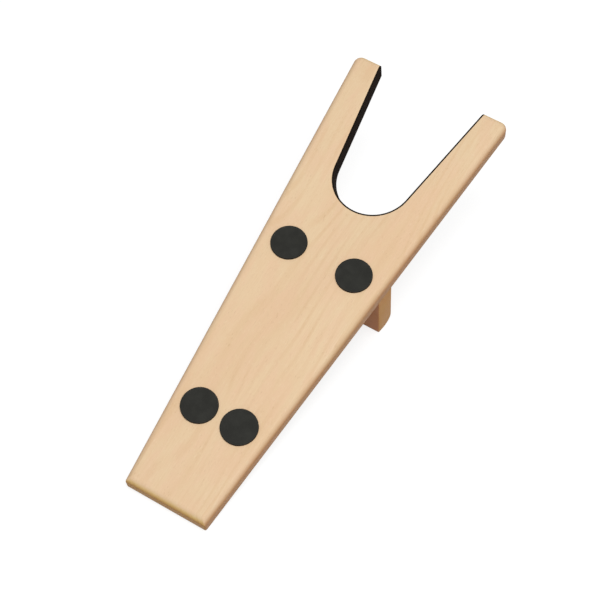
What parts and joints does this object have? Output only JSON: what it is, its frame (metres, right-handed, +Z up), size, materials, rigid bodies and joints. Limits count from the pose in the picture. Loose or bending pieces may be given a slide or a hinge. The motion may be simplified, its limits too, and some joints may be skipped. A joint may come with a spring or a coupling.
{
  "type": "boot jack",
  "caption": "Sloping wooden boot jack: a forked board on a leg, with a rubber-lined notch that grips a boot's heel and rubber pads for the feet.",
  "frame": {"origin": "middle of the flat of the leg's foot, on the floor", "axes": "+Z up; +Y level, from the tail to the fork; +X to the right of someone facing the fork"},
  "size_m": [0.12, 0.3389, 0.0984],
  "materials": {
    "beech": "fine-sanded, clear matt oil",
    "lining_rubber": "smooth matt",
    "pad_rubber": "finely ribbed matt",
    "screw_steel": "zinc plated"
  },
  "bodies": {
    "root": {"board": "beech", "leg": "beech", "notch_lining": "lining_rubber", "pad_front_left": "pad_rubber", "pad_front_right": "pad_rubber", "pad_rear_left": "pad_rubber", "pad_rear_right": "pad_rubber", "leg_screw_left": "screw_steel", "leg_screw_right": "screw_steel"}
  },
  "joints": []
}
